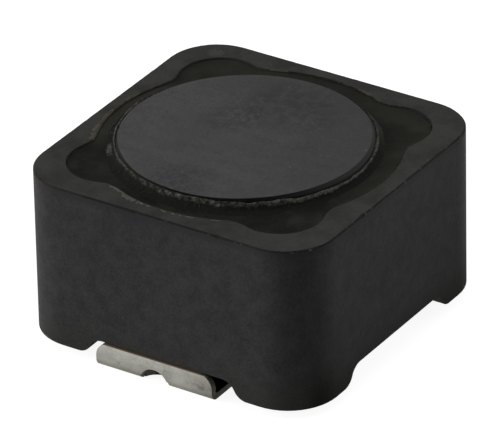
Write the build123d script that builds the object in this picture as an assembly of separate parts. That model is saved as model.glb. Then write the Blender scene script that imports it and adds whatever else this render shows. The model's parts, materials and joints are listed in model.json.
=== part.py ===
"""Shielded drum core inductor for surface mounting.

A ferrite drum carries the winding and stands inside a square ferrite ring. Resin locks the
drum's top flange in the ring, and two sheet metal terminals are bonded under the drum's
bottom flange. The part stands on the flat pads of the two terminals.

Frame: millimetres, +Z up, origin on the ring's centre line in the plane of the terminal pads.
The terminals face -Y (front) and +Y (rear).
"""
import os

from build123d import *

# Shield core: square ring, sintered ferrite
SHIELD_SIDE = 12.5
SHIELD_HEIGHT = 6.55
SHIELD_CORNER_RADIUS = 2.0
SHIELD_EDGE_BREAK = 0.05
WALL_THICKNESS = 0.59
BORE_OFFSET_X = -0.08
BORE_OFFSET_Y = 0.08
LOBE_RADIUS = 1.6
LOBE_WALL_THICKNESS = 0.99
LOBE_BLEND_RADIUS = 1.1
RECESS_DEPTH = 0.67
RECESS_SIDE_GAP = 0.6
RECESS_RAMP_WIDTH = 1.05
RECESS_OFFSET = 0.06
FOOT_CLEARANCE = 0.43

# Drum core: spool with two round flanges, sintered ferrite
FLANGE_GAP = 0.91
FLANGE_THICKNESS = 1.0
FLANGE_EDGE_RADIUS = 0.13
POST_DIAMETER = 4.8
LEAD_SLOT_CLEARANCE = 0.1
DRUM_OFFSET_X = -0.27
DRUM_OFFSET_Y = 0.07
DRUM_PROUD = 0.29

# Winding: enamelled copper wire that fills the drum up to a margin inside its flanges
WIRE_DIAMETER = 0.5
WINDING_CLEARANCE = 0.02
FLANGE_MARGIN = 0.33
LEAD_BEND_RADIUS = 0.5
LEAD_HEADROOM = 0.22

# Terminals: bent sheet, one on each side
TERMINAL_WIDTH = 5.0
TERMINAL_THICKNESS = 0.25
TERMINAL_PROUD = 0.04
TERMINAL_TOP_GAP = 0.05
TERMINAL_CORNER_RADIUS = 0.55
BEND_INNER_RADIUS = 0.08
PAD_DEPTH = 2.7
TONGUE_DEPTH = 1.3
FORK_CLEARANCE = 0.45
NOTCH_RADIUS = 0.6
NOTCH_DEPTH = 0.7

# Solder joints, adhesive and resin
SOLDER_SETBACK = 0.2
SOLDER_LENGTH = 1.0
SOLDER_MARGIN = 0.4
SOLDER_COVER = 0.1
SOLDER_FILM = 0.02
LEAD_END_GAP = 0.3
BOND_THICKNESS = 0.04
BOND_MARGIN = 0.15
BOND_OVERLAP = 0.12
RESIN_LEVEL = 0.13
RESIN_DEPTH = 1.0
BEAD_CREST_GAP = 0.04
BEAD_WIDTH = 0.28
BEAD_CREST_WIDTH = 0.15

# Heights above the board
drum_bottom = TERMINAL_THICKNESS + WIRE_DIAMETER + LEAD_HEADROOM
shield_bottom = FOOT_CLEARANCE
recess_ceiling = shield_bottom + RECESS_DEPTH
rim = shield_bottom + SHIELD_HEIGHT
drum_top = rim + DRUM_PROUD
window_bottom = drum_bottom + FLANGE_THICKNESS
window_top = drum_top - FLANGE_THICKNESS
resin_top = rim - RESIN_LEVEL
bead_crest = drum_top - FLANGE_EDGE_RADIUS - BEAD_CREST_GAP
lead_axis_z = TERMINAL_THICKNESS + SOLDER_FILM + WIRE_DIAMETER / 2

# Radii and counts
wire_radius = WIRE_DIAMETER / 2
bore_radius = SHIELD_SIDE / 2 - WALL_THICKNESS
lobe_centre = SHIELD_SIDE / 2 - LOBE_WALL_THICKNESS - LOBE_RADIUS
flange_radius = bore_radius - FLANGE_GAP
post_radius = POST_DIAMETER / 2
coil_inner_radius = post_radius + WINDING_CLEARANCE
coil_outer_radius = flange_radius - FLANGE_MARGIN
turns_per_layer = int((window_top - window_bottom) / WIRE_DIAMETER)

# Reach of a terminal from the centre line
terminal_face = SHIELD_SIDE / 2 + TERMINAL_PROUD
riser_face = terminal_face - PAD_DEPTH
tongue_end = riser_face - TONGUE_DEPTH
notch_end = terminal_face - NOTCH_DEPTH
solder_end = notch_end - SOLDER_SETBACK
tongue_top = drum_bottom - BOND_THICKNESS
plate_top = recess_ceiling - TERMINAL_TOP_GAP
bend_outer_radius = BEND_INNER_RADIUS + TERMINAL_THICKNESS
fork_gap_width = WIRE_DIAMETER + 2 * FORK_CLEARANCE
prong_width = (TERMINAL_WIDTH - fork_gap_width) / 2


def at_drum(shape):
    """Move a shape from the drum's own axis to its place in the ring."""
    return Pos(DRUM_OFFSET_X, DRUM_OFFSET_Y, 0) * shape


def bore_outline():
    """Round bore with a lobe in each corner, blended where the circles meet."""
    lobes = [
        Pos(x * lobe_centre, y * lobe_centre) * Circle(LOBE_RADIUS)
        for x in (-1, 1)
        for y in (-1, 1)
    ]
    outline = Circle(bore_radius) + lobes
    return Pos(BORE_OFFSET_X, BORE_OFFSET_Y) * fillet(outline.vertices(), LOBE_BLEND_RADIUS)


def recess_cutter():
    """Bar with S-shaped flanks that cuts one pair of opposite recesses under the ring."""
    middle = TERMINAL_WIDTH / 2 + RECESS_SIDE_GAP
    half_flat = middle - RECESS_RAMP_WIDTH / 2
    half_mouth = middle + RECESS_RAMP_WIDTH / 2
    top = RECESS_DEPTH
    below = -RECESS_DEPTH
    right_upper = TangentArc((half_flat, top), (middle, top / 2), tangent=(1, 0))
    right_lower = TangentArc((half_mouth, 0), (middle, top / 2), tangent=(-1, 0))
    left_upper = TangentArc((-half_flat, top), (-middle, top / 2), tangent=(-1, 0))
    left_lower = TangentArc((-half_mouth, 0), (-middle, top / 2), tangent=(1, 0))
    outline = make_face(
        [
            Line((-half_flat, top), (half_flat, top)),
            right_upper,
            right_lower,
            Line((half_mouth, 0), (half_mouth, below)),
            Line((half_mouth, below), (-half_mouth, below)),
            Line((-half_mouth, below), (-half_mouth, 0)),
            left_lower,
            left_upper,
        ]
    )
    bar = extrude(Plane.XZ * outline, SHIELD_SIDE, both=True)
    return Pos(RECESS_OFFSET, 0, shield_bottom) * bar


def shield_core():
    """Square ring with rounded corners, a lobed bore and a foot at each corner."""
    square = RectangleRounded(SHIELD_SIDE, SHIELD_SIDE, SHIELD_CORNER_RADIUS)
    block = Pos(0, 0, shield_bottom) * extrude(square, SHIELD_HEIGHT)
    block = chamfer(block.faces().sort_by(Axis.Z)[-1].edges(), SHIELD_EDGE_BREAK)
    bore = Pos(0, 0, shield_bottom) * extrude(bore_outline(), SHIELD_HEIGHT)
    cutter = recess_cutter()
    return block - bore - cutter - Rot(0, 0, -90) * cutter


def disc(radius, bottom, height):
    """Upright cylinder on the Z axis that starts at a given height."""
    return Pos(0, 0, bottom) * extrude(Circle(radius), height)


def drum_core():
    """Spool: round post between two flanges, with a lead slot in the front and rear below."""
    top_flange = disc(flange_radius, window_top, FLANGE_THICKNESS)
    top_flange = fillet(top_flange.edges().group_by(Axis.Z)[-1], FLANGE_EDGE_RADIUS)
    bottom_flange = disc(flange_radius, drum_bottom, FLANGE_THICKNESS)
    bottom_flange = fillet(bottom_flange.edges().group_by(Axis.Z)[0], FLANGE_EDGE_RADIUS)
    post = disc(post_radius, window_bottom, window_top - window_bottom)
    slot = Rectangle(WIRE_DIAMETER + 2 * LEAD_SLOT_CLEARANCE, 2 * (flange_radius - post_radius))
    slots = [
        Pos(0, side * flange_radius, drum_bottom) * extrude(slot, FLANGE_THICKNESS)
        for side in (-1, 1)
    ]
    return at_drum(top_flange + post + (bottom_flange - slots))


def lead(start_radius, side):
    """Wire from the coil's lowest turn down through a slot and out over a terminal pad."""
    end = side * (solder_end - LEAD_END_GAP) - DRUM_OFFSET_Y
    start = side * start_radius
    route = FilletPolyline(
        (0, start, window_bottom + wire_radius),
        (0, start, lead_axis_z),
        (0, end, lead_axis_z),
        radius=LEAD_BEND_RADIUS,
    )
    section = Plane(origin=route @ 0, z_dir=route % 0) * Circle(wire_radius)
    return sweep(section, path=route)


def coil_section():
    """Half section of the coil, with one round bulge for each turn of the outer layer."""
    groove_radius = coil_outer_radius - wire_radius
    top = window_bottom + turns_per_layer * WIRE_DIAMETER
    bulges = [
        ThreePointArc(
            (groove_radius, window_bottom + turn * WIRE_DIAMETER),
            (coil_outer_radius, window_bottom + (turn + 0.5) * WIRE_DIAMETER),
            (groove_radius, window_bottom + (turn + 1) * WIRE_DIAMETER),
        )
        for turn in range(turns_per_layer)
    ]
    inner_face = Polyline(
        (groove_radius, top),
        (coil_inner_radius, top),
        (coil_inner_radius, window_bottom),
        (groove_radius, window_bottom),
    )
    return make_face(bulges + [inner_face])


def winding():
    """Coil of wire with its inner end led to the rear and its outer end to the front."""
    coil = revolve(Plane.XZ * coil_section(), Axis.Z)
    inner_lead = lead(coil_inner_radius + wire_radius, 1)
    outer_lead = lead(coil_outer_radius - wire_radius, -1)
    return at_drum(coil + inner_lead + outer_lead)


def terminal_strip():
    """Bent strip seen from the side: upright plate, pad, riser and raised tongue."""
    inner_face = terminal_face - TERMINAL_THICKNESS
    tongue_bottom = tongue_top - TERMINAL_THICKNESS
    outside = FilletPolyline(
        (-terminal_face, plate_top),
        (-terminal_face, 0),
        (-riser_face, 0),
        (-riser_face, tongue_bottom),
        (-tongue_end, tongue_bottom),
        radius=(bend_outer_radius, bend_outer_radius, BEND_INNER_RADIUS),
    )
    inside = FilletPolyline(
        (-inner_face, plate_top),
        (-inner_face, TERMINAL_THICKNESS),
        (-riser_face - TERMINAL_THICKNESS, TERMINAL_THICKNESS),
        (-riser_face - TERMINAL_THICKNESS, tongue_top),
        (-tongue_end, tongue_top),
        radius=(BEND_INNER_RADIUS, BEND_INNER_RADIUS, bend_outer_radius),
    )
    outline = make_face(
        [
            outside,
            inside,
            Line((-terminal_face, plate_top), (-inner_face, plate_top)),
            Line((-tongue_end, tongue_bottom), (-tongue_end, tongue_top)),
        ]
    )
    return extrude(Plane.YZ * outline, TERMINAL_WIDTH / 2, both=True)


def plate_trim():
    """Metal cut away beside the plate's two rounded top corners."""
    radius = TERMINAL_CORNER_RADIUS
    corners = [
        Pos(side * (TERMINAL_WIDTH / 2 - radius / 2), plate_top - radius / 2)
        * Rectangle(radius, radius)
        - Pos(side * (TERMINAL_WIDTH / 2 - radius), plate_top - radius) * Circle(radius)
        for side in (-1, 1)
    ]
    return [
        extrude(Pos(0, -terminal_face) * (Plane.XZ * corner), -TERMINAL_THICKNESS)
        for corner in corners
    ]


def notch_cutter():
    """Round hole punched on the front bend: an arch in the plate and a round-ended pad slot."""
    arch = extrude(
        Pos(0, -terminal_face) * (Plane.XZ * Circle(NOTCH_RADIUS)),
        -TERMINAL_THICKNESS - BEND_INNER_RADIUS,
    )
    slot_end = Pos(0, -notch_end - NOTCH_RADIUS) * Circle(NOTCH_RADIUS)
    slot = Pos(0, -notch_end - 2 * NOTCH_RADIUS) * Rectangle(2 * NOTCH_RADIUS, 2 * NOTCH_RADIUS)
    return arch + extrude(slot_end + slot, TERMINAL_THICKNESS)


def terminal():
    """Front terminal: plate with round top corners, notched pad and a forked tongue."""
    fork_length = TONGUE_DEPTH + TERMINAL_THICKNESS + BEND_INNER_RADIUS
    fork_gap = Pos(0, -tongue_end, 0) * Box(
        fork_gap_width,
        fork_length,
        recess_ceiling + drum_bottom,
        align=(Align.CENTER, Align.MAX, Align.MIN),
    )
    blank = terminal_strip() - plate_trim() - notch_cutter() - fork_gap
    return Pos(DRUM_OFFSET_X, 0, 0) * blank


def to_rear(front):
    """Half turn about the drum's place along X, which takes a front terminal to the rear."""
    return Pos(DRUM_OFFSET_X, 0, 0) * Rot(0, 0, 180) * Pos(-DRUM_OFFSET_X, 0, 0) * front


def solder_joint(winding_piece, side):
    """Mound of solder on a pad, wrapped round the end of its lead."""
    width = WIRE_DIAMETER + 2 * SOLDER_MARGIN
    height = SOLDER_FILM + WIRE_DIAMETER + SOLDER_COVER
    ball = scale(Sphere(1), by=(width / 2, SOLDER_LENGTH / 2, height))
    mound = split(ball, bisect_by=Plane.XY, keep=Keep.TOP)
    centre = side * (solder_end - SOLDER_LENGTH / 2)
    return Pos(DRUM_OFFSET_X, centre, TERMINAL_THICKNESS) * mound - winding_piece


def bond(terminal_piece, across, side):
    """Dab of adhesive between one prong of a tongue and the drum's bottom flange."""
    prong_centre = (fork_gap_width + prong_width) / 2
    length = TONGUE_DEPTH + BOND_MARGIN
    height = BOND_THICKNESS + BOND_OVERLAP
    dab = Box(
        prong_width + 2 * BOND_MARGIN,
        length,
        height,
        align=(Align.CENTER, Align.CENTER, Align.MAX),
    )
    dab = fillet(dab.edges().filter_by(Axis.Z), BOND_MARGIN)
    place = Pos(
        DRUM_OFFSET_X + across * prong_centre,
        side * (riser_face - length / 2),
        drum_bottom,
    )
    return place * dab - terminal_piece


def resin_fill():
    """Resin between the ring's bore and the drum's top flange."""
    plug = Pos(0, 0, resin_top - RESIN_DEPTH) * extrude(bore_outline(), RESIN_DEPTH)
    hole = disc(flange_radius, resin_top - RESIN_DEPTH, RESIN_DEPTH)
    return plug - at_drum(hole)


def flange_bead():
    """Bead of adhesive that climbs the edge of the drum's top flange."""
    section = make_face(
        Polyline(
            (flange_radius, resin_top),
            (flange_radius + BEAD_WIDTH, resin_top),
            (flange_radius + BEAD_CREST_WIDTH, bead_crest),
            (flange_radius, bead_crest),
            close=True,
        )
    )
    ring = at_drum(revolve(Plane.XZ * section, Axis.Z))
    room = Pos(0, 0, resin_top) * extrude(bore_outline(), bead_crest - resin_top)
    return ring & room


def build():
    """All pieces of the inductor by name."""
    front = terminal()
    rear = to_rear(front)
    coil = winding()
    pieces = {
        "shield_core": shield_core(),
        "drum_core": drum_core(),
        "winding": coil,
        "resin_fill": resin_fill(),
        "flange_bead": flange_bead(),
    }
    for name, piece, side in (("front", front, -1), ("rear", rear, 1)):
        pieces[f"terminal_{name}"] = piece
        pieces[f"solder_{name}"] = solder_joint(coil, side)
        pieces[f"bond_{name}_left"] = bond(piece, -1, side)
        pieces[f"bond_{name}_right"] = bond(piece, 1, side)
    return pieces


os.makedirs("parts", exist_ok=True)
for name, piece in build().items():
    export_step(piece, f"parts/{name}.step")
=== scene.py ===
"""Looks for a square shielded drum core inductor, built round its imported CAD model.

Shapes are in metres and patterns in millimetres, and the pieces' places come from the CAD nodes.
The ring, the drum, the resin bed, the adhesive bead and the two tin-plated terminals get new
meshes with worn edges here. Every piece gets its finish here.
"""

import json
import math
import random

import bmesh
import bpy
from mathutils import Matrix, Vector, kdtree, noise


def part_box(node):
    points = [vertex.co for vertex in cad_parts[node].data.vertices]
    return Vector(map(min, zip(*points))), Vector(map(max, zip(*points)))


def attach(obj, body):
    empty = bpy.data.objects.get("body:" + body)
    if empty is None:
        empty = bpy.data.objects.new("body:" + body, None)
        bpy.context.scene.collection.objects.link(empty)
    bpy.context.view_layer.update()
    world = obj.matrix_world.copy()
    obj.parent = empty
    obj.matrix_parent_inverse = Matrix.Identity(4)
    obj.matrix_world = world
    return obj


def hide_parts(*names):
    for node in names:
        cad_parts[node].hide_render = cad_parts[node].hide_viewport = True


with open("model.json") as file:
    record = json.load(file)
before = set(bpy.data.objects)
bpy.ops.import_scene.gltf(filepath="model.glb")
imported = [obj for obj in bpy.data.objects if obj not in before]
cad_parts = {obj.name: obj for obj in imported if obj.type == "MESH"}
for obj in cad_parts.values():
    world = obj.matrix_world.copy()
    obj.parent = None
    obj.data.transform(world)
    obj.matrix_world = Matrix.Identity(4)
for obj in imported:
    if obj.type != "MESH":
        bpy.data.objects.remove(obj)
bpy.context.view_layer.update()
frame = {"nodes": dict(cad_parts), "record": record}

MM = 0.001


def upright_axis(low, high):
    """Foot of the vertical line through the middle of a box."""
    return Vector(((low.x + high.x) / 2, (low.y + high.y) / 2, 0))


ring_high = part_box("shield_core")[1]
drum_low, drum_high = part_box("drum_core")
resin_low, resin_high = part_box("resin_fill")
plate_low, plate_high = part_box("terminal_front")

RIM = ring_high.z
RESIN_TOP = resin_high.z
DRUM_TOP = drum_high.z
DRUM_AXIS = upright_axis(drum_low, drum_high)
FLANGE_RADIUS = (drum_high.x - drum_low.x) / 2
BORE_AXIS = upright_axis(resin_low, resin_high)
BORE_RADIUS = (resin_high.x - resin_low.x) / 2

# Places in millimetres, for the finishes
RIM_LEVEL = RIM / MM
DRUM_LEVEL = DRUM_TOP / MM
PLATE_LEVEL = plate_high.z / MM
HALF_SHEET = 0.13
PLATE_MIDDLE = -plate_low.y / MM - HALF_SHEET


class Value:
    """A number inside a material, so that shader maths reads as plain expressions."""

    def __init__(self, nodes, socket):
        self.nodes = nodes
        self.socket = socket

    def __add__(self, other):
        return self.nodes.maths("ADD", self, other)

    def __sub__(self, other):
        return self.nodes.maths("SUBTRACT", self, other)

    def __rsub__(self, other):
        return self.nodes.maths("SUBTRACT", other, self)

    def __mul__(self, other):
        return self.nodes.maths("MULTIPLY", self, other)

    __radd__ = __add__
    __rmul__ = __mul__

    def ramp(self, start, end):
        """0 at start, 1 at end, smooth between them and level outside."""
        made = self.nodes.node(
            "ShaderNodeMapRange",
            {"interpolation_type": "SMOOTHSTEP"},
            {"Value": self, "From Min": start, "From Max": end},
        )
        return Value(self.nodes, made.outputs["Result"])


class Nodes:
    """A node tree being filled in."""

    def __init__(self, tree):
        self.tree = tree
        tree.nodes.clear()

    def node(self, kind, settings=None, values=None):
        """Add a node: its settings first, then the values or links of its sockets."""
        made = self.tree.nodes.new(kind)
        for name, setting in (settings or {}).items():
            setattr(made, name, setting)
        for name, value in (values or {}).items():
            if isinstance(value, Value):
                value = value.socket
            if isinstance(value, bpy.types.NodeSocket):
                self.tree.links.new(value, made.inputs[name])
            else:
                made.inputs[name].default_value = value
        return made

    def maths(self, operation, *terms):
        """Shader maths on numbers and sockets."""
        made = self.node("ShaderNodeMath", {"operation": operation}, dict(enumerate(terms)))
        return Value(self, made.outputs[0])


class Finish(Nodes):
    """One procedural material. Its patterns are laid out in millimetres of the object."""

    def __init__(self, name, **constants):
        self.material = bpy.data.materials.new(name)
        self.material.use_nodes = True
        super().__init__(self.material.node_tree)
        self.surface = self.node("ShaderNodeBsdfPrincipled", {}, constants)
        self.node("ShaderNodeOutputMaterial", {}, {"Surface": self.surface.outputs[0]})
        spot = self.node("ShaderNodeTexCoord").outputs["Object"]
        in_mm = self.node("ShaderNodeVectorMath", {"operation": "SCALE"}, {0: spot, "Scale": 1 / MM})
        self.spot = in_mm.outputs[0]

    def set(self, **links):
        """Link the surface's varying sockets."""
        for name, value in links.items():
            socket = value.socket if isinstance(value, Value) else value
            self.tree.links.new(socket, self.surface.inputs[name.replace("_", " ")])
        return self

    def stretched(self, scale):
        """The object's coordinates in millimetres, times a number along each axis."""
        return self.node("ShaderNodeMapping", {}, {"Vector": self.spot, "Scale": scale}).outputs[0]

    def clouds(self, per_mm, detail, roughness, where=None):
        """Soft noise, from 0 to 1."""
        made = self.node(
            "ShaderNodeTexNoise",
            {},
            {
                "Vector": where or self.spot,
                "Scale": per_mm,
                "Detail": detail,
                "Roughness": roughness,
            },
        )
        return Value(self, made.outputs[0])

    def cells(self, per_mm):
        """Distance to the nearest grain centre, and a random number for each grain."""
        made = self.node(
            "ShaderNodeTexVoronoi",
            {"feature": "F1"},
            {"Vector": self.spot, "Scale": per_mm},
        )
        chance = self.node("ShaderNodeSeparateColor", {}, {0: made.outputs["Color"]})
        return Value(self, made.outputs["Distance"]), Value(self, chance.outputs[0])

    def specks(self, per_mm, size, share):
        """1 inside small sparse specks, 0 elsewhere."""
        distance, chance = self.cells(per_mm)
        return (1 - distance.ramp(size * 0.5, size)) * chance.ramp(1 - share, 1 - share * 0.9)

    def axis(self, name):
        """One coordinate in millimetres."""
        split = self.node("ShaderNodeSeparateXYZ", {}, {0: self.spot})
        return Value(self, split.outputs[name])

    def facing(self, name):
        """How far the smooth surface faces along an axis, from -1 to 1."""
        geometry = self.node("ShaderNodeNewGeometry")
        split = self.node("ShaderNodeSeparateXYZ", {}, {0: geometry.outputs["Normal"]})
        return Value(self, split.outputs[name])

    def patch(self, x, y, radius):
        """1 at an upright axis, fading to 0 at a radius round it, in millimetres."""
        across, along = self.axis("X") - x, self.axis("Y") - y
        return 1 - ((across * across + along * along) * (1 / radius ** 2)).ramp(0, 1)

    def painted(self, name):
        """A number stored on the mesh."""
        made = self.node("ShaderNodeAttribute", {"attribute_name": name})
        return Value(self, made.outputs["Fac"])

    def mix(self, factor, first, second):
        """Colour first at factor 0 and second at factor 1."""
        made = self.node("ShaderNodeMix", {"data_type": "RGBA"}, {0: factor, 6: first, 7: second})
        return made.outputs[2]

    def bump(self, height, depth_mm):
        """Surface normal from a height between 0 and 1 and its depth."""
        return self.node("ShaderNodeBump", {}, {"Height": height, "Distance": depth_mm * MM}).outputs[0]


def tone(red, green, blue):
    """Linear colour of a display colour from 0 to 255."""
    def linear(value):
        value = value / 255
        return value / 12.92 if value <= 0.04045 else ((value + 0.055) / 1.055) ** 2.4

    return (linear(red), linear(green), linear(blue), 1)


def shield_ferrite():
    """Matt sintered ferrite: mottled dark grey, olive low down, with a dark worn brink on top."""
    finish = Finish("shield_ferrite", **{"Specular IOR Level": 0.08})
    mottle = finish.clouds(1.6, 4, 0.7)
    broad = finish.clouds(0.35, 2, 0.5)
    grain = finish.clouds(11.0, 3, 0.8)
    pits, chance = finish.cells(4.5)
    level = mottle * 0.4 + grain * 0.45 + broad * 0.15
    colour = finish.mix(level.ramp(0.36, 0.64), tone(40, 40, 40), tone(60, 60, 60))

    # Olive near the feet, painted shade low on every side but the front, rubbed dark near the rim
    height_up = finish.axis("Z")
    low = 1 - height_up.ramp(0.3, 1.9)
    colour = finish.mix(low * mottle.ramp(0.3, 0.7) * 0.7, colour, tone(40, 40, 32))
    # Painted shade: every side but the front darkens towards the bottom, most near the front corner
    beside = finish.facing("Y").ramp(-0.75, -0.4)
    near_front = 1 - finish.axis("Y").ramp(-6.2, -3.0)
    shaded = 0.22 * (1 - height_up.ramp(0.5, 6.5)) + 0.33 * (1 - height_up.ramp(0.2, 2.4))
    shaded = (shaded + near_front * 0.3 * (1 - height_up.ramp(0.4, 3.5))) * beside
    colour = finish.mix(shaded, colour, tone(5, 6, 3))
    rubbed = height_up.ramp(RIM_LEVEL - 1.0, RIM_LEVEL - 0.1) * (mottle * 0.5 + grain * 0.5)
    colour = finish.mix(rubbed.ramp(0.42, 0.58) * 0.5, colour, tone(28, 28, 28))

    # The top face, with a pale smudge at the back left corner
    up = finish.facing("Z").ramp(0.9, 0.98)
    patches = finish.clouds(0.9, 3, 0.6) * 0.6 + grain * 0.4
    top = finish.mix(patches.ramp(0.36, 0.64), tone(37, 37, 35), tone(55, 55, 52))
    smudge = finish.patch(-4.95, 5.35, 0.4) * grain.ramp(0.35, 0.6)
    top = finish.mix(smudge * 0.45, top, tone(84, 84, 78))
    colour = finish.mix(up, colour, top)
    colour = finish.mix(finish.specks(1.3, 0.05, 0.12) * 0.8, colour, tone(104, 103, 98))
    pit = (1 - pits.ramp(0.05, 0.3)) * chance.ramp(0.8, 0.9)
    colour = finish.mix(pit * 0.4, colour, tone(27, 27, 26))

    # The chamfer round the top: dark, rusty on the left, with pale flecks mostly on the right
    brink = height_up.ramp(RIM_LEVEL - 0.2, RIM_LEVEL - 0.06)
    slope = finish.facing("Z").ramp(0.1, 0.3)
    flecks = finish.clouds(5.0, 3, 0.8).ramp(0.58, 0.65)
    flecks = flecks * (0.2 + finish.axis("X").ramp(1.0, 5.0) * 0.8)
    worn = finish.mix(broad.ramp(0.5, 0.6), tone(14, 14, 13), tone(26, 24, 22))
    rusty = (1 - finish.axis("X").ramp(-5.6, -2.6)) * mottle.ramp(0.3, 0.6)
    worn = finish.mix(rusty, worn, tone(43, 35, 30))
    worn = finish.mix(flecks, worn, tone(92, 91, 82))
    colour = finish.mix(brink * slope * (1 - up) * 0.9, colour, worn)

    height = grain * 0.7 + (1 - pit) * 0.3
    return finish.set(
        Base_Color=colour,
        Roughness=0.6 + grain * 0.2 + shaded * 0.3,
        Normal=finish.bump(height, 0.02),
    ).material


def drum_ferrite():
    """Ground ferrite: mid grey with faint marks along X, painted shade at the back right and the front
    edge.
    """
    finish = Finish("drum_ferrite", **{"Specular IOR Level": 0.08})
    marks = finish.clouds(0.9, 4, 0.6, where=finish.stretched((0.7, 2.4, 2.4)))
    mottle = finish.clouds(2.2, 4, 0.7)
    grain = finish.clouds(13.0, 3, 0.8)
    level = marks * 0.15 + mottle * 0.25 + grain * 0.6
    colour = finish.mix(level.ramp(0.39, 0.61), tone(60, 60, 60), tone(77, 77, 77))

    # Dark patches, and painted shade darker towards the back right
    broad = finish.clouds(0.3, 2, 0.5) * 0.7 + mottle * 0.3
    dark = broad.ramp(0.44, 0.62) * 0.28
    dark += finish.patch(0.1, 2.6, 2.4) * mottle.ramp(0.35, 0.6) * 0.6
    dark += finish.patch(-1.4, 0.9, 1.4) * mottle.ramp(0.38, 0.6) * 0.5
    scuffs = finish.clouds(6.0, 4, 0.9)
    dark += finish.patch(-0.5, -3.9, 1.7) * scuffs.ramp(0.38, 0.62) * 0.7
    # Painted shade across the top, growing towards the back right
    far = (finish.axis("X") * 0.7 + finish.axis("Y") * 0.7).ramp(-1.5, 5.0)
    colour = finish.mix(dark + far * 0.58, colour, tone(48, 48, 48))

    # Pale dust, and specks both pale and dark
    dusty = finish.patch(-1.8, 2.5, 0.9) + finish.patch(2.3, 0.1, 1.2)
    dusty += finish.patch(-1.2, 1.2, 0.9) + finish.patch(1.3, 2.1, 0.9)
    colour = finish.mix(dusty * scuffs.ramp(0.56, 0.66) * 0.6, colour, tone(92, 92, 88))
    colour = finish.mix(finish.specks(1.2, 0.07, 0.2), colour, tone(88, 88, 86))
    colour = finish.mix(finish.specks(3.0, 0.2, 0.08) * 0.5, colour, tone(44, 44, 43))

    # The top flange's edge: grey, and near black with painted shade along the front, with pale flecks
    # there
    bare_copper_and_front_shade = finish.painted("bare_copper_and_front_shade")
    flange = finish.axis("Z").ramp(DRUM_LEVEL - 0.6, DRUM_LEVEL - 0.4)
    brink = (1 - finish.facing("Z").ramp(0.9, 0.98)) * flange
    edge = (1 - finish.facing("Z").ramp(0.78, 0.92)) * flange
    worn = finish.clouds(3.5, 3, 0.8).ramp(0.44, 0.56)
    colour = finish.mix(brink * worn * bare_copper_and_front_shade, colour, tone(84, 84, 80))
    painted_shade_edge = finish.mix(mottle.ramp(0.45, 0.65), tone(3, 3, 3), tone(16, 16, 14))
    colour = finish.mix(edge, colour, finish.mix(bare_copper_and_front_shade, tone(37, 37, 36), painted_shade_edge))

    height = grain * 0.7 + marks * 0.3
    return finish.set(
        Base_Color=colour,
        Roughness=0.55 + grain * 0.2 + edge * bare_copper_and_front_shade * 0.3,
        Normal=finish.bump(height, 0.012),
    ).material


def resin_finish():
    """Cured filled resin: dull dark olive grey, dusty in places, with painted light at the back."""
    finish = Finish("resin", **{"Specular IOR Level": 0.02})
    flow = finish.clouds(1.1, 3, 0.6)
    grain = finish.clouds(8.0, 2, 0.6)
    colour = finish.mix(
        (flow * 0.6 + grain * 0.4).ramp(0.36, 0.64), tone(22, 22, 19), tone(33, 34, 30)
    )
    dusty = finish.clouds(0.5, 3, 0.6).ramp(0.5, 0.66)
    colour = finish.mix(dusty * 0.45, colour, tone(48, 49, 45))

    # Dust at the left and at the back right, and painted light at the back
    side, along = finish.axis("X"), finish.axis("Y")
    dust_and_painted_light = (1 - side.ramp(-5.4, -4.4)) * (1 - (along * along).ramp(5, 11)) * 0.8
    dust_and_painted_light += side.ramp(3.2, 5.2) * along.ramp(-2.5, 0.0) * 0.3
    # Painted light: the resin at the back, shaded between the flange and the rim, is lifted
    dust_and_painted_light += along.ramp(3.0, 4.5) * (1 - side.ramp(2.5, 4.5)) * 0.35
    colour = finish.mix(dust_and_painted_light, colour, tone(56, 56, 51))
    colour = finish.mix(finish.specks(2.0, 0.06, 0.12) * 0.8, colour, tone(66, 66, 60))
    return finish.set(
        Base_Color=colour,
        Roughness=0.6 + grain * 0.15,
        Normal=finish.bump(flow * 0.6 + grain * 0.4, 0.03),
    ).material


def crust_finish(name, dark, pale, warm, behind, beside):
    """Rough cured adhesive, dark where it lies flat, with a pale crust.

    The crust turns warm over the stretch of Y behind, and cool again over the stretch of X beside.
    """
    finish = Finish(name, **{"Specular IOR Level": 0.05})
    lumps = finish.clouds(3.0, 4, 0.7)
    grain = finish.clouds(10.0, 3, 0.8)
    crust = finish.painted("crust")
    level = (crust + lumps * 0.8 + grain * 0.9 - 0.85).ramp(0.28, 0.88)
    back = finish.axis("Y").ramp(*behind) * (1 - finish.axis("X").ramp(*beside))
    # Lighter towards the back, as dust and as painted light on the shaded back
    dusty = finish.mix(finish.axis("Y").ramp(2.0, 4.5), dark, tone(54, 54, 49))
    colour = finish.mix(level, dusty, finish.mix(back, pale, warm))
    colour = finish.mix(finish.specks(9.0, 0.35, 0.3) * level * 0.8, colour, tone(126, 126, 120))
    return finish.set(
        Base_Color=colour,
        Roughness=0.75 + grain * 0.15,
        Normal=finish.bump(grain, 0.03),
    ).material


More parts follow.
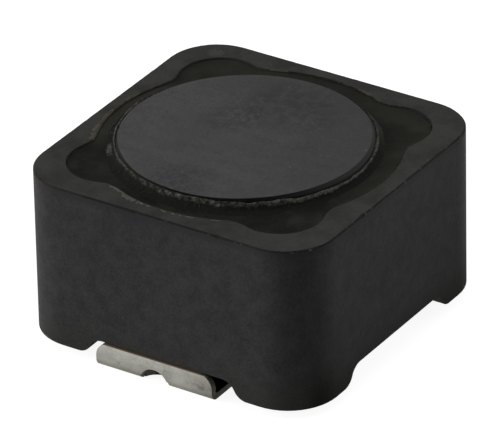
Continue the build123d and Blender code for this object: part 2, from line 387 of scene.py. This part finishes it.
def tin_finish():
    """Satin tin plate with dull stains and painted shade, brown copper on its sheared edges, painted
    light in the notch.
    """
    finish = Finish("tinned_sheet", **{"Specular IOR Level": 0.1})
    cloud = finish.clouds(1.1, 4, 0.6)
    grain = finish.clouds(9.0, 3, 0.7)
    along, across, up = finish.axis("X"), finish.axis("Y"), finish.axis("Z")
    colour = finish.mix(
        (cloud * 0.7 + grain * 0.3).ramp(0.35, 0.65), tone(134, 133, 126), tone(152, 151, 144)
    )
    stain = finish.clouds(1.9, 4, 0.7).ramp(0.56, 0.7)
    # Painted shade: the plates darken towards their +X end
    painted_shade_end = along.ramp(1.2, 2.5)
    colour = finish.mix(stain * 0.4 + painted_shade_end * 0.5, colour, tone(98, 95, 84))

    # A dull streak on the front plate
    from_streak = up - 0.48
    streak = from_streak * from_streak
    streak = (1 - streak.ramp(0.003, 0.02)) * (1 - along.ramp(2.1, 2.3)) * along.ramp(0.9, 1.5)
    streak = streak * finish.clouds(4.0, 3, 0.8).ramp(0.42, 0.58) * (1 - across.ramp(-1.0, 1.0))
    colour = finish.mix(streak * 0.6, colour, tone(86, 86, 86))

    # Darker at the bend, and painted shade on the inner side of the upright plates, in the hollow under
    # the ring
    bend = 1 - up.ramp(0.1, 0.42)
    colour = finish.mix(bend * 0.7, colour, tone(90, 89, 72))
    painted_inner_shade = 1 - (across * across).ramp(PLATE_MIDDLE ** 2 * 0.97, PLATE_MIDDLE ** 2)
    painted_inner_shade *= finish.facing("Z").ramp(-0.7, -0.5)
    colour = finish.mix(painted_inner_shade, colour, tone(20, 20, 18))

    # Copper on the sheared sides, brown on the top edge, dull at the foot, painted light on the
    # shadowed notch walls
    sideways = finish.facing("X")
    sheared = (sideways * sideways).ramp(0.2, 0.45)
    brink = up.ramp(PLATE_LEVEL - 0.06, PLATE_LEVEL - 0.02)
    copper = finish.mix(grain.ramp(0.35, 0.65), tone(78, 72, 62), tone(116, 111, 99))
    dull = finish.mix(grain, tone(30, 29, 23), tone(52, 50, 40))
    copper = finish.mix(1 - up.ramp(0.04, 0.26), copper, dull)
    notched = (1 - (along * along).ramp(0.7, 1.0)) * (1 - up.ramp(0.68, 0.76))
    painted_notch_light = finish.mix(up.ramp(0.16, 0.34), tone(156, 154, 142), tone(98, 96, 78))
    copper = finish.mix(notched, copper, painted_notch_light)
    copper = finish.mix(brink * (1 - sheared), copper, tone(86, 72, 61))
    bare_copper_and_front_shade = sheared + brink - sheared * brink
    colour = finish.mix(bare_copper_and_front_shade, colour, copper)

    return finish.set(
        Base_Color=colour,
        Metallic=0.85 * (1 - bare_copper_and_front_shade) * (1 - painted_inner_shade * 0.9),
        Roughness=0.4 + grain * 0.14 + stain * 0.12,
        Normal=finish.bump(grain * 0.5 + cloud * 0.5, 0.012),
    ).material


def solder_finish():
    """Dull reflowed solder."""
    finish = Finish("solder", **{"Metallic": 1.0})
    cloud = finish.clouds(3.0, 4, 0.6)
    colour = finish.mix(cloud.ramp(0.3, 0.7), tone(150, 150, 147), tone(182, 182, 179))
    return finish.set(
        Base_Color=colour,
        Roughness=0.3 + cloud * 0.25,
        Normal=finish.bump(cloud, 0.03),
    ).material


def magnet_wire_finish():
    """Copper wire under clear amber enamel."""
    finish = Finish("magnet_wire", **{"Metallic": 0.85, "Coat Roughness": 0.12})
    cloud = finish.clouds(1.5, 3, 0.6)
    fine = finish.clouds(12.0, 2, 0.6)
    deep_amber, pale_amber = (0.33, 0.1, 0.035, 1), (0.5, 0.19, 0.07, 1)
    colour = finish.mix(cloud.ramp(0.3, 0.7), deep_amber, pale_amber)
    return finish.set(
        Base_Color=colour,
        Roughness=0.25 + fine * 0.15,
        Coat_Weight=0.6 + cloud * 0.3,
        Normal=finish.bump(fine, 0.006),
    ).material


def adhesive_finish():
    """Cured dark adhesive under the drum."""
    finish = Finish("adhesive", **{"Specular IOR Level": 0.4})
    cloud = finish.clouds(2.0, 4, 0.6)
    colour = finish.mix(cloud.ramp(0.3, 0.7), tone(24, 24, 22), tone(50, 50, 42))
    return finish.set(
        Base_Color=colour,
        Roughness=0.4 + cloud * 0.2,
        Normal=finish.bump(cloud, 0.04),
    ).material


finishes = {
    "shield_ferrite": shield_ferrite(),
    "drum_ferrite": drum_ferrite(),
    "magnet_wire": magnet_wire_finish(),
    "resin": resin_finish(),
    "adhesive_bead": crust_finish(
        "adhesive_bead",
        tone(24, 24, 21),
        tone(96, 96, 90),
        tone(88, 84, 75),
        behind=(-2.5, 1.5),
        beside=(-1.0, 3.0),
    ),
    # Warm right across the ring, so its stretch of X lies beside the ring
    "resin_flakes": crust_finish(
        "resin_flakes",
        tone(44, 42, 38),
        tone(90, 89, 82),
        tone(83, 75, 67),
        behind=(-4.5, -1.0),
        beside=(7.0, 9.0),
    ),
    "adhesive": adhesive_finish(),
    "tinned_sheet": tin_finish(),
    "solder": solder_finish(),
}

for part in frame["record"]["subparts"]:
    node = frame["nodes"][part["node"]]
    node.data.materials.clear()
    node.data.materials.append(finishes[part["material_slot"]])


# Shapes

WELD = 1e-7
TOUCH = 2e-6
FLAT_ANGLE = math.radians(0.4)


def cad_copy(name):
    """Editable copy of a CAD node, welded, with the triangles of each flat face joined."""
    form = bmesh.new()
    form.from_mesh(frame["nodes"][name].data)
    bmesh.ops.remove_doubles(form, verts=form.verts, dist=WELD)
    bmesh.ops.dissolve_limit(form, angle_limit=FLAT_ANGLE, verts=form.verts, edges=form.edges)
    return form


def finish_piece(form, name, slot, replaced, smooth, flakes=None):
    """Turn a form into a piece of the part, smooth where faces meet at up to so many degrees."""
    mesh = bpy.data.meshes.new(name)
    form.to_mesh(mesh)
    form.free()
    mesh.shade_smooth()
    mesh.set_sharp_from_angle(angle=math.radians(smooth))
    mesh.materials.append(finishes[slot])
    if flakes:
        mesh.materials.append(finishes[flakes])
    piece = bpy.data.objects.new(name, mesh)
    bpy.context.scene.collection.objects.link(piece)
    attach(piece, "root")
    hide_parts(replaced)


def spin_outline(form, points, edges, axis, steps):
    """Turn an outline once round an upright axis."""
    bmesh.ops.spin(
        form,
        geom=points + edges,
        cent=axis,
        axis=(0, 0, 1),
        angle=2 * math.pi,
        steps=steps,
        use_merge=True,
    )


def bevel_edges(form, edges, offset, clamp_overlap):
    """Round some edges in two steps, and give the faces that this makes."""
    made = bmesh.ops.bevel(
        form,
        geom=edges,
        offset=offset,
        offset_type="OFFSET",
        affect="EDGES",
        segments=2,
        profile=0.5,
        material=-1,
        clamp_overlap=clamp_overlap,
    )
    return made["faces"]


def point_tree(points):
    """Search tree that finds the nearest of some points."""
    tree = kdtree.KDTree(len(points))
    for index, point in enumerate(points):
        tree.insert(point, index)
    tree.balance()
    return tree


def is_wall(face):
    """Whether a face stands upright or nearly so."""
    return abs(face.normal.z) < 0.5


def is_top(face):
    """Whether a face looks up."""
    return face.normal.z > 0.9


def lies_at(edge, height):
    """Whether an edge lies at a height, or above it."""
    return all(v.co.z > height - TOUCH for v in edge.verts)


def clamp(value):
    """A number, kept between 0 and 1."""
    return min(max(value, 0), 1)


def roughness(spot, per_mm, seed):
    """Smooth noise at a point, from about -1 to 1, at so many lumps per millimetre."""
    return noise.noise(spot * (per_mm / MM) + Vector((seed, seed * 1.7, -seed)))


def bearing(spot, axis):
    """Direction of a point round an upright axis, in degrees from +X."""
    return math.degrees(math.atan2(spot.y - axis.y, spot.x - axis.x))


def window(angle, start, end, soften):
    """1 between two bearings, 0 outside, with soft ends."""
    middle, half = (start + end) / 2, (end - start) / 2
    away = abs((angle - middle + 180) % 360 - 180) - half
    return clamp(0.5 - away / soften)


# Where pale resin clings to the bore's chipped edge: bearings from and to, depth of the chips in mm
CLINGING_RESIN = [
    (-117.5, -108.0, 0.15),
    (-110.0, -102.7, 0.27),
    (-101.7, -98.6, 0.19),
    (-97.4, -95.6, 0.14),
    (-91.1, -88.8, 0.18),
    (-86.5, -85.2, 0.14),
    (-83.6, -82.4, 0.12),
    (-81.0, -77.4, 0.14),
    (-71.6, -68.2, 0.13),
    (-165.0, -158.5, 0.23),
    (-158.2, -152.5, 0.17),
    (183.5, 194.5, 0.12),
    (176.5, 183.0, 0.08),
    (168.0, 175.5, 0.09),
    (161.0, 167.0, 0.06),
    (154.0, 160.0, 0.05),
    (108.0, 115.0, 0.07),
    (82.0, 92.0, 0.02),
    (71.0, 78.0, 0.08),
    (65.0, 69.0, 0.06),
]
# Degrees over which each stretch fades, then depths in mm of a bare and of a full crusted chip
CLINGING_FADE = 0.5
BARE_CHIP = 0.02
CRUSTED_CHIP = 0.1
CHIP_CRUST = 0.75
CHIP_STEP = 0.03 * MM
BORE_BREAK = 0.025 * MM
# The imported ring's chamfer, and how it is told from the bore with its lobes
CHAMFER_STEP = 0.07 * MM
CHAMFER_ZONE = 0.2 * MM
CHAMFER_HEIGHT = 0.052 * MM
OUTER_BAND = 0.3 * MM
LOBE_REACH = 1.25 * BORE_RADIUS
HANDLED_WIDTH = 6 * MM
# Wear of the chamfer in mm: fine all round, deep at the back left and at the front right
FINE_WEAR = 0.008
BACK_WEAR = 0.025
ADDED_FRONT_WEAR = 0.055


def split_edges(form, edges, step):
    """Divide edges into equal lengths of about one step."""
    by_cuts = {}
    for edge in edges:
        by_cuts.setdefault(int(edge.calc_length() / step), []).append(edge)
    for cuts, group in by_cuts.items():
        if cuts:
            bmesh.ops.subdivide_edges(form, edges=group, cuts=cuts, use_grid_fill=True)


def clinging(spot):
    """Depth of the chips with pale resin at a point of the bore's edge, in millimetres."""
    angle = bearing(spot, BORE_AXIS)
    return max(
        depth * window(angle, start, end, CLINGING_FADE) for start, end, depth in CLINGING_RESIN
    )


def chamfer_border(form):
    """Upper and lower edges of the chamfer round the ring's top."""
    def is_chamfer(face):
        return 0.3 < face.normal.z < 0.95 and face.calc_center_median().z > RIM - CHAMFER_ZONE

    return [
        e
        for e in form.edges
        if abs(e.verts[0].co.z - e.verts[1].co.z) < TOUCH and any(map(is_chamfer, e.link_faces))
    ]


def bore_edge(form):
    """Edges where the ring's top meets the bore."""
    return [
        e
        for e in form.edges
        if lies_at(e, RIM) and any(map(is_wall, e.link_faces)) and any(map(is_top, e.link_faces))
    ]


def chip_bore_edge(form):
    """Break the bore's edge into chips, deep and pale where resin clings to it."""
    edges = bore_edge(form)
    into_ring = {}
    for edge in edges:
        wall = next(filter(is_wall, edge.link_faces))
        for vertex in edge.verts:
            spot = vertex.co.copy().freeze()
            into_ring[spot] = into_ring.get(spot, Vector()) - wall.normal
    sides = list(into_ring.values())
    tree = point_tree(list(into_ring))
    strip = bevel_edges(form, edges, BORE_BREAK, clamp_overlap=False)
    crust = form.verts.layers.float.new("crust")
    for vertex in {v for f in strip for v in f.verts}:
        start, index, _ = tree.find(vertex.co)
        resin = clinging(start)
        vertex[crust] = CHIP_CRUST * min(resin / CRUSTED_CHIP, 1)
        side = sides[index].normalized()
        depth = max(resin, BARE_CHIP) * MM
        depth *= 0.8 + 0.5 * roughness(start, 4.0, 3.1) + 0.3 * roughness(start, 11.0, 2.2)
        depth += max(roughness(start, 1.6, 9.0), 0) * 0.05 * MM
        # The upper row goes into the ring, the lower one down the bore, the middle one half way
        if vertex.co.z > RIM - TOUCH:
            vertex.co += side * depth
        elif (vertex.co - start).xy.length < BORE_BREAK * 0.2:
            vertex.co.z -= depth * 0.12
        else:
            vertex.co += side * depth * 0.5
            vertex.co.z += BORE_BREAK * 0.25 - depth * 0.03
    for face in strip:
        middle = face.calc_center_median()
        if clinging(middle) > 0.03 + 0.05 * roughness(middle, 6.0, 1.2):
            face.material_index = 1


def wear_chamfer(form):
    """Wear the chamfer round the ring's top, most at the front right where it was handled."""
    for vertex in form.verts:
        flat = vertex.co.xy - BORE_AXIS.xy
        inside = max(abs(vertex.co.x), abs(vertex.co.y)) < ring_high.x - OUTER_BAND
        if vertex.co.z < RIM - CHAMFER_HEIGHT or (inside and flat.length < LOBE_REACH):
            continue
        handled = clamp((vertex.co.x - vertex.co.y) / HANDLED_WIDTH)
        deep = BACK_WEAR + ADDED_FRONT_WEAR * handled
        wear = max(roughness(vertex.co, 2.3, 5.5), 0) ** 2 * deep * MM
        wear += (1 + roughness(vertex.co, 7.0, 2.5)) * FINE_WEAR * MM
        if vertex.co.z > RIM - TOUCH:
            vertex.co.xy -= flat.normalized() * wear
        else:
            vertex.co.z -= wear


def shield_ring():
    """Square ferrite ring with a worn chamfer and a chipped bore edge."""
    form = cad_copy("shield_core")
    border, bore = chamfer_border(form), bore_edge(form)
    split_edges(form, border, CHAMFER_STEP)
    split_edges(form, bore, CHIP_STEP)
    chip_bore_edge(form)
    wear_chamfer(form)
    finish_piece(form, "shield_ring", "shield_ferrite", "shield_core", smooth=20, flakes="resin_flakes")


# Outline of the bead: distance from the flange in mm, share of the bead's height there
BEAD_OUTLINE = [
    (0.0, -0.03),
    (0.48, -0.03),
    (0.44, 0.03),
    (0.36, 0.08),
    (0.28, 0.16),
    (0.22, 0.3),
    (0.185, 0.5),
    (0.16, 0.74),
    (0.135, 0.94),
    (0.11, 1.0),
    (0.085, 0.97),
    (0.06, 0.9),
    (0.035, 0.84),
    (0.0, 0.8),
]
BEAD_STEPS = 760
BEAD_SEED = 5
# How far the bead's crest stays below the drum's top, in mm
BEAD_BELOW_TOP = 0.05
# Slow changes along the bead are read off one circle, so that they are the same across it
BEAD_CIRCLE = 4.7 * MM
# Loose crumbs along the bead: bearings from and to, distances from the flange in mm, how many
CRUMBS = [
    (-162, -140, 0.17, 0.27, 40),
    (-140, -100, 0.08, 0.25, 40),
    (-100, -60, 0.08, 0.2, 34),
    (-60, -35, 0.08, 0.2, 20),
]
# Least and most radius in mm, share of pale crust, and how lumpy a crumb is
CRUMB_RADIUS = (0.009, 0.024)
CRUMB_CRUST = (0.3, 0.75)
CRUMB_LUMPS = 0.6


def bead_height(angle):
    """Height of the bead's crest above the resin round the flange, in millimetres."""
    tall = 0.24
    tall += 0.12 * window(angle, 160, 262, 24)
    tall += 0.12 * window(angle, -98, -30, 24)
    tall += 0.1 * window(angle, 15, 55, 30)
    tall += 0.03 * window(angle, -125, -86, 12)
    tall -= 0.07 * window(angle, 85, 150, 30)
    return tall


def bead_crust(angle):
    """Share of pale crust on the bead's crest round the flange."""
    pale = 0.42
    pale += 0.22 * window(angle, -55, 36, 24)
    pale -= 0.2 * window(angle, 58, 100, 24)
    pale += 0.1 * window(angle, -190, -155, 12)
    pale += 0.03 * window(angle, -108, -60, 12)
    pale += 0.03 * window(angle, -78, -60, 12)
    pale -= 0.02 * window(angle, -136, -112, 12)
    return pale


def crust_at(spot, angle, across, up):
    """Share of pale crust at a point of the bead: on its crest, and in its sheltered corner."""
    start = 0.28 + 0.15 * window(angle, -12, 75, 20) + 0.2 * window(angle, -150, -108, 12)
    crest = clamp((up - start) / 0.35)
    if across < 0.05:
        sheltered = window(angle, -215, -66, 20) + window(angle, 0, 70, 20)
        crest = 0.3 * crest + 0.6 * sheltered
    share = crest * bead_crust(angle) * (1 + 0.4 * roughness(spot, 6.0, 12.0))
    if 0.2 < across < 0.4:
        share += 0.55 * window(angle, -151, -139, 6)
    if across < 0.12:
        share += 0.22 * window(angle, -182, -116, 10)
    return share


def roughen_bead(form, crust):
    """Give the bead its height and spread at each bearing, its lumps and its crust."""
    tallest = (DRUM_TOP - RESIN_TOP) / MM - BEAD_BELOW_TOP
    for vertex in form.verts:
        spot = vertex.co.copy()
        angle = bearing(spot, Vector())
        out = Vector((spot.x, spot.y, 0)).normalized()
        circle = out * BEAD_CIRCLE
        across = (spot.xy.length - FLANGE_RADIUS) / MM
        up = (spot.z - RESIN_TOP) / MM

        # At the front left the crest is filled up level to the flange
        left = window(angle, -178, -64, 16)
        if across < 0.1 and up > 0:
            up += (1 - up) * left
        if up > 0:
            tall = bead_height(angle) * (1 + 0.25 * roughness(circle, 1.9, 4.0))
            tall = min(tall, tallest) + 0.02 * roughness(spot, 6.0, 8.0)
            vertex.co.z = RESIN_TOP + up * tall * MM

        # Its outer side wanders, and is drawn in on the right; its surface is lumpy
        if across > 0.02:
            spread = 0.04 * roughness(circle, 1.4, 11.0)
            spread -= 0.25 * across * window(angle, -42, 90, 20)
            spread -= 0.05 * left + 0.04 * window(angle, -172, -136, 12)
            spread += 0.025 * roughness(spot, 5.0, 2.0)
            vertex.co += out * spread * MM * min(across / 0.12, 1)
        if 0.0 < up < 0.999 and across > 0.06:
            lump = 0.018 * roughness(spot, 9.0, 6.0) + 0.015 * roughness(spot, 17.0, 1.0)
            vertex.co += (out + Vector((0, 0, 1))) * lump * MM
        vertex[crust] = crust_at(spot, angle, across, up)


def scatter_crumbs(form, crust):
    """Strew loose crumbs of adhesive along the bead."""
    chance = random.Random(BEAD_SEED)
    for start, end, near, far, count in CRUMBS:
        for _ in range(count):
            angle = math.radians(chance.uniform(start, end))
            away = chance.uniform(near, far)
            reach = FLANGE_RADIUS + away * MM
            radius = chance.uniform(*CRUMB_RADIUS) * MM
            tall = bead_height(math.degrees(angle)) * max(0.5 - away, 0.1)
            place = Vector((reach * math.cos(angle), reach * math.sin(angle), RESIN_TOP + tall * MM))
            made = bmesh.ops.create_icosphere(
                form, subdivisions=1, radius=radius, matrix=Matrix.Translation(place)
            )
            for vertex in made["verts"]:
                vertex.co += (vertex.co - place) * CRUMB_LUMPS * roughness(vertex.co, 20.0, 3.0)
                vertex[crust] = chance.uniform(*CRUMB_CRUST)


def bead():
    """Rough bead of adhesive round the top flange, tall at the left and in front, low behind."""
    form = bmesh.new()
    points = [
        form.verts.new((FLANGE_RADIUS + across * MM, 0, RESIN_TOP + up * MM))
        for across, up in BEAD_OUTLINE
    ]
    edges = [form.edges.new(ends) for ends in zip(points, points[1:] + points[:1])]
    spin_outline(form, points, edges, Vector(), BEAD_STEPS)
    bmesh.ops.recalc_face_normals(form, faces=form.faces)
    crust = form.verts.layers.float.new("crust")
    roughen_bead(form, crust)
    scatter_crumbs(form, crust)
    bmesh.ops.translate(form, verts=form.verts, vec=DRUM_AXIS)
    finish_piece(form, "bead", "adhesive_bead", "flange_bead", smooth=70)


DRUM_SEAM = DRUM_TOP - 0.3 * MM
DRUM_EDGE = 0.12 * MM
# A power of 1 gives a round edge and 2 a straight chamfer
DRUM_EDGE_POWER = 1.8
DRUM_STEPS = 600
# Wear of the flange's edge in mm: fine all round, deep in places
FINE_DRUM_WEAR = 0.004
DEEP_DRUM_WEAR = 0.12


def drum_outline():
    """Outline of the drum's top from its axis out and back: distance from the axis, height."""
    outline = [(0, DRUM_SEAM), (FLANGE_RADIUS, DRUM_SEAM)]
    for turn in range(0, 91, 15):
        lean = math.radians(turn)
        inwards = DRUM_EDGE * (1 - math.cos(lean) ** DRUM_EDGE_POWER)
        down = DRUM_EDGE * (1 - math.sin(lean) ** DRUM_EDGE_POWER)
        outline.append((FLANGE_RADIUS - inwards, DRUM_TOP - down))
    return outline + [(FLANGE_RADIUS - DRUM_EDGE * 1.3, DRUM_TOP), (0, DRUM_TOP)]


def wear_drum_edge(form):
    """Wear the edge of the drum's top, fuller at the front, and mark the front stretch that is painted
    in shade.
    """
    bare_copper_and_front_shade = form.verts.layers.float.new("bare_copper_and_front_shade")
    for vertex in form.verts:
        out = vertex.co.xy - DRUM_AXIS.xy
        angle = bearing(vertex.co, DRUM_AXIS)
        # The marked stretch is the front, where the edge gets painted shade and pale flecks
        vertex[bare_copper_and_front_shade] = min(window(angle, -125, 60, 70), window(angle, -200, -29, 44))
        if vertex.co.z <= DRUM_SEAM + TOUCH:
            continue
        if out.length > FLANGE_RADIUS - 1.4 * DRUM_EDGE:
            corner = out.normalized() * FLANGE_RADIUS + DRUM_AXIS.xy
            corner = Vector((corner.x, corner.y, DRUM_TOP))
            vertex.co = vertex.co.lerp(corner, 0.5 * window(angle, -122, -62, 20))
        if out.length > FLANGE_RADIUS * 0.98:
            wear = max(roughness(vertex.co, 2.2, 3.0) - 0.15, 0) ** 2 * DEEP_DRUM_WEAR
            wear += (1 + roughness(vertex.co, 8.0, 6.0)) * FINE_DRUM_WEAR
            vertex.co.xy -= out.normalized() * wear * MM


def drum():
    """Drum with a softly worn edge round its ground top."""
    form = cad_copy("drum_core")
    bmesh.ops.bisect_plane(
        form,
        geom=form.verts[:] + form.edges[:] + form.faces[:],
        dist=WELD,
        plane_co=(0, 0, DRUM_SEAM),
        plane_no=(0, 0, 1),
        clear_outer=True,
    )
    bmesh.ops.holes_fill(form, edges=[e for e in form.edges if e.is_boundary])
    points = [form.verts.new(DRUM_AXIS + Vector((out, 0, up))) for out, up in drum_outline()]
    edges = [form.edges.new(ends) for ends in zip(points, points[1:])]
    spin_outline(form, points, edges, DRUM_AXIS, DRUM_STEPS)
    bmesh.ops.remove_doubles(form, verts=form.verts, dist=WELD)
    wear_drum_edge(form)
    bmesh.ops.recalc_face_normals(form, faces=form.faces)
    finish_piece(form, "drum", "drum_ferrite", "drum_core", smooth=40)


MENISCUS_RISE = 0.05 * MM
MENISCUS_REACH = 0.16 * MM
MENISCUS_FALL = 1.2
SWELL = 0.018 * MM
RIPPLE = 0.006 * MM
FLANGE_MARGIN = 0.016 * MM
WALL_STEP = 0.05 * MM
RESIN_STEP = 0.11 * MM


def bore_marks(form):
    """Points along the line where the resin meets the bore, about one step apart."""
    marks = []
    for edge in form.edges:
        a, b = (v.co.copy() for v in edge.verts)
        on_flange = (a.xy - DRUM_AXIS.xy).length <= FLANGE_RADIUS + FLANGE_MARGIN
        if on_flange or not lies_at(edge, RESIN_TOP) or not any(map(is_wall, edge.link_faces)):
            continue
        count = max(int((b - a).length / WALL_STEP), 1)
        marks += [a.lerp(b, i / count) for i in range(count + 1)]
    return marks


def cut_grid(form):
    """Cut the resin's top into squares of about one step."""
    for axis in (0, 1):
        low, high = resin_low[axis], resin_high[axis]
        normal = Vector()
        normal[axis] = 1
        count = int((high - low) / RESIN_STEP)
        for i in range(1, count):
            place = Vector((0, 0, RESIN_TOP))
            place[axis] = low + (high - low) * i / count
            top = list(filter(is_top, form.faces))
            edges = {e for f in top for e in f.edges}
            corners = {v for f in top for v in f.verts}
            geom = [*top, *edges, *corners]
            bmesh.ops.bisect_plane(form, geom=geom, dist=WELD, plane_co=place, plane_no=normal)


def resin_bed():
    """Resin between bore and drum, with a meniscus that climbs the bore."""
    form = cad_copy("resin_fill")
    tree = point_tree(bore_marks(form))
    cut_grid(form)
    for vertex in form.verts:
        if vertex.co.z < RESIN_TOP - TOUCH:
            continue
        spot = vertex.co.copy()
        away = tree.find(Vector((spot.x, spot.y, RESIN_TOP)))[2] / MENISCUS_REACH
        swell = SWELL * roughness(spot, 0.7, 7.0) + RIPPLE * roughness(spot, 2.4, 2.0)
        vertex.co.z += MENISCUS_RISE * math.exp(-(away ** 2) * MENISCUS_FALL) + swell
    finish_piece(form, "resin_bed", "resin", "resin_fill", smooth=50)


SHEET_EDGE_ROUND = 0.018 * MM
SHARP_ANGLE = math.radians(40)


def terminal(name, node):
    """Bent tin-plated terminal with slightly rounded edges."""
    form = cad_copy(node)
    sharp = [
        e for e in form.edges if len(e.link_faces) == 2 and e.calc_face_angle() > SHARP_ANGLE
    ]
    bevel_edges(form, sharp, SHEET_EDGE_ROUND, clamp_overlap=True)
    finish_piece(form, name, "tinned_sheet", node, smooth=40)


shield_ring()
drum()
bead()
resin_bed()
terminal("front_terminal", "terminal_front")
terminal("rear_terminal", "terminal_rear")


# Stage: white floor, camera and soft lamps

CAMERA_AZIMUTH = 33.18
CAMERA_ELEVATION = 29.557
CAMERA_ROLL = -1.217
CAMERA_DISTANCE = 248.133 * MM
CAMERA_SIDE = -0.013 * MM
CAMERA_DROP = 2.704 * MM
SENSOR_WIDTH = 36
LENS_TO_SENSOR = 13.6622
CLIP_RANGE = 50
LAMP_DISTANCE = 300 * MM
FLOOR_SIZE = 4.0
FLOOR_GAP = 0.02 * MM
WHITE = (1, 1, 1, 1)
PAPER = (0.2, 0.2, 0.2, 1)
SHADED_PAPER = (0.3, 0.3, 0.3, 1)
PAPER_GLOW = 0.9
ROOM_LIGHT = 0.14


def direction(azimuth, elevation):
    """Unit vector from the object outwards, in degrees: azimuth 0 is the front, 90 the right."""
    a, e = math.radians(azimuth), math.radians(elevation)
    return Vector((math.sin(a) * math.cos(e), -math.cos(a) * math.cos(e), math.sin(e)))


def camera():
    """Long lens above the front right corner."""
    back = direction(CAMERA_AZIMUTH, CAMERA_ELEVATION)
    level = direction(CAMERA_AZIMUTH + 90, 0)
    turn = Matrix.Rotation(math.radians(CAMERA_ROLL), 3, back)
    right, up = turn @ level, turn @ back.cross(level)
    data = bpy.data.cameras.new("camera")
    data.sensor_width = SENSOR_WIDTH
    data.lens = LENS_TO_SENSOR * SENSOR_WIDTH
    data.clip_start, data.clip_end = CAMERA_DISTANCE / CLIP_RANGE, CAMERA_DISTANCE * CLIP_RANGE
    made = bpy.data.objects.new("camera", data)
    bpy.context.scene.collection.objects.link(made)
    spot = Vector((0, 0, RIM)) + back * CAMERA_DISTANCE + right * CAMERA_SIDE - up * CAMERA_DROP
    axes = Matrix((right, up, back)).transposed()
    made.matrix_world = Matrix.Translation(spot) @ axes.to_4x4()
    bpy.context.scene.camera = made


def lamp(name, azimuth, elevation, size, brightness):
    """Square soft lamp aimed at the object. Brightness is its light, where 1 is a white page."""
    data = bpy.data.lights.new(name, "AREA")
    data.shape = "SQUARE"
    data.size = size
    data.energy = brightness * math.pi * size * size
    made = bpy.data.objects.new(name, data)
    bpy.context.scene.collection.objects.link(made)
    outwards = direction(azimuth, elevation)
    made.location = outwards * LAMP_DISTANCE
    made.rotation_euler = outwards.to_track_quat("Z", "Y").to_euler()


def white_to_look_at(nodes, lit, white, output):
    """Show white to rays that see the surroundings, and the lit shader to rays that light."""
    rays = nodes.node("ShaderNodeLightPath")
    seen = nodes.maths("MAXIMUM", rays.outputs["Is Camera Ray"], rays.outputs["Is Transmission Ray"])
    seen = nodes.maths("MAXIMUM", seen, rays.outputs["Is Glossy Ray"])
    mixed = nodes.node(
        "ShaderNodeMixShader",
        {},
        {0: seen, 1: lit.outputs[0], 2: white.outputs[0]},
    )
    nodes.node(output, {}, {"Surface": mixed.outputs[0]})


def floor():
    """White page under the object that keeps its soft shadow."""
    form = bmesh.new()
    bmesh.ops.create_grid(form, x_segments=1, y_segments=1, size=FLOOR_SIZE / 2)
    mesh = bpy.data.meshes.new("floor")
    form.to_mesh(mesh)
    form.free()
    page = bpy.data.objects.new("floor", mesh)
    page.location.z = -FLOOR_GAP
    bpy.context.scene.collection.objects.link(page)
    material = bpy.data.materials.new("white_page")
    material.use_nodes = True
    nodes = Nodes(material.node_tree)
    paper = nodes.node("ShaderNodeBsdfDiffuse", {}, {"Color": PAPER})
    shaded = nodes.node("ShaderNodeBsdfDiffuse", {}, {"Color": SHADED_PAPER})
    glow = nodes.node("ShaderNodeEmission", {}, {"Strength": PAPER_GLOW})
    white = nodes.node("ShaderNodeAddShader", {}, {0: shaded.outputs[0], 1: glow.outputs[0]})
    white_to_look_at(nodes, paper, white, "ShaderNodeOutputMaterial")
    mesh.materials.append(material)


def backdrop():
    """Room behind the page: dim light for the object, white to look at."""
    world = bpy.data.worlds.new("room")
    bpy.context.scene.world = world
    world.use_nodes = True
    nodes = Nodes(world.node_tree)
    room = nodes.node("ShaderNodeBackground", {}, {"Color": WHITE, "Strength": ROOM_LIGHT})
    white = nodes.node("ShaderNodeBackground", {}, {"Color": WHITE, "Strength": 1.0})
    white_to_look_at(nodes, room, white, "ShaderNodeOutputWorld")


camera()
floor()
backdrop()
lamp("left_softbox", azimuth=-50, elevation=17, size=220 * MM, brightness=5.6)
lamp("right_softbox", azimuth=130, elevation=24, size=220 * MM, brightness=2.1)
lamp("top_softbox", azimuth=20, elevation=80, size=250 * MM, brightness=1.2)
bpy.context.scene.view_settings.view_transform = "Standard"
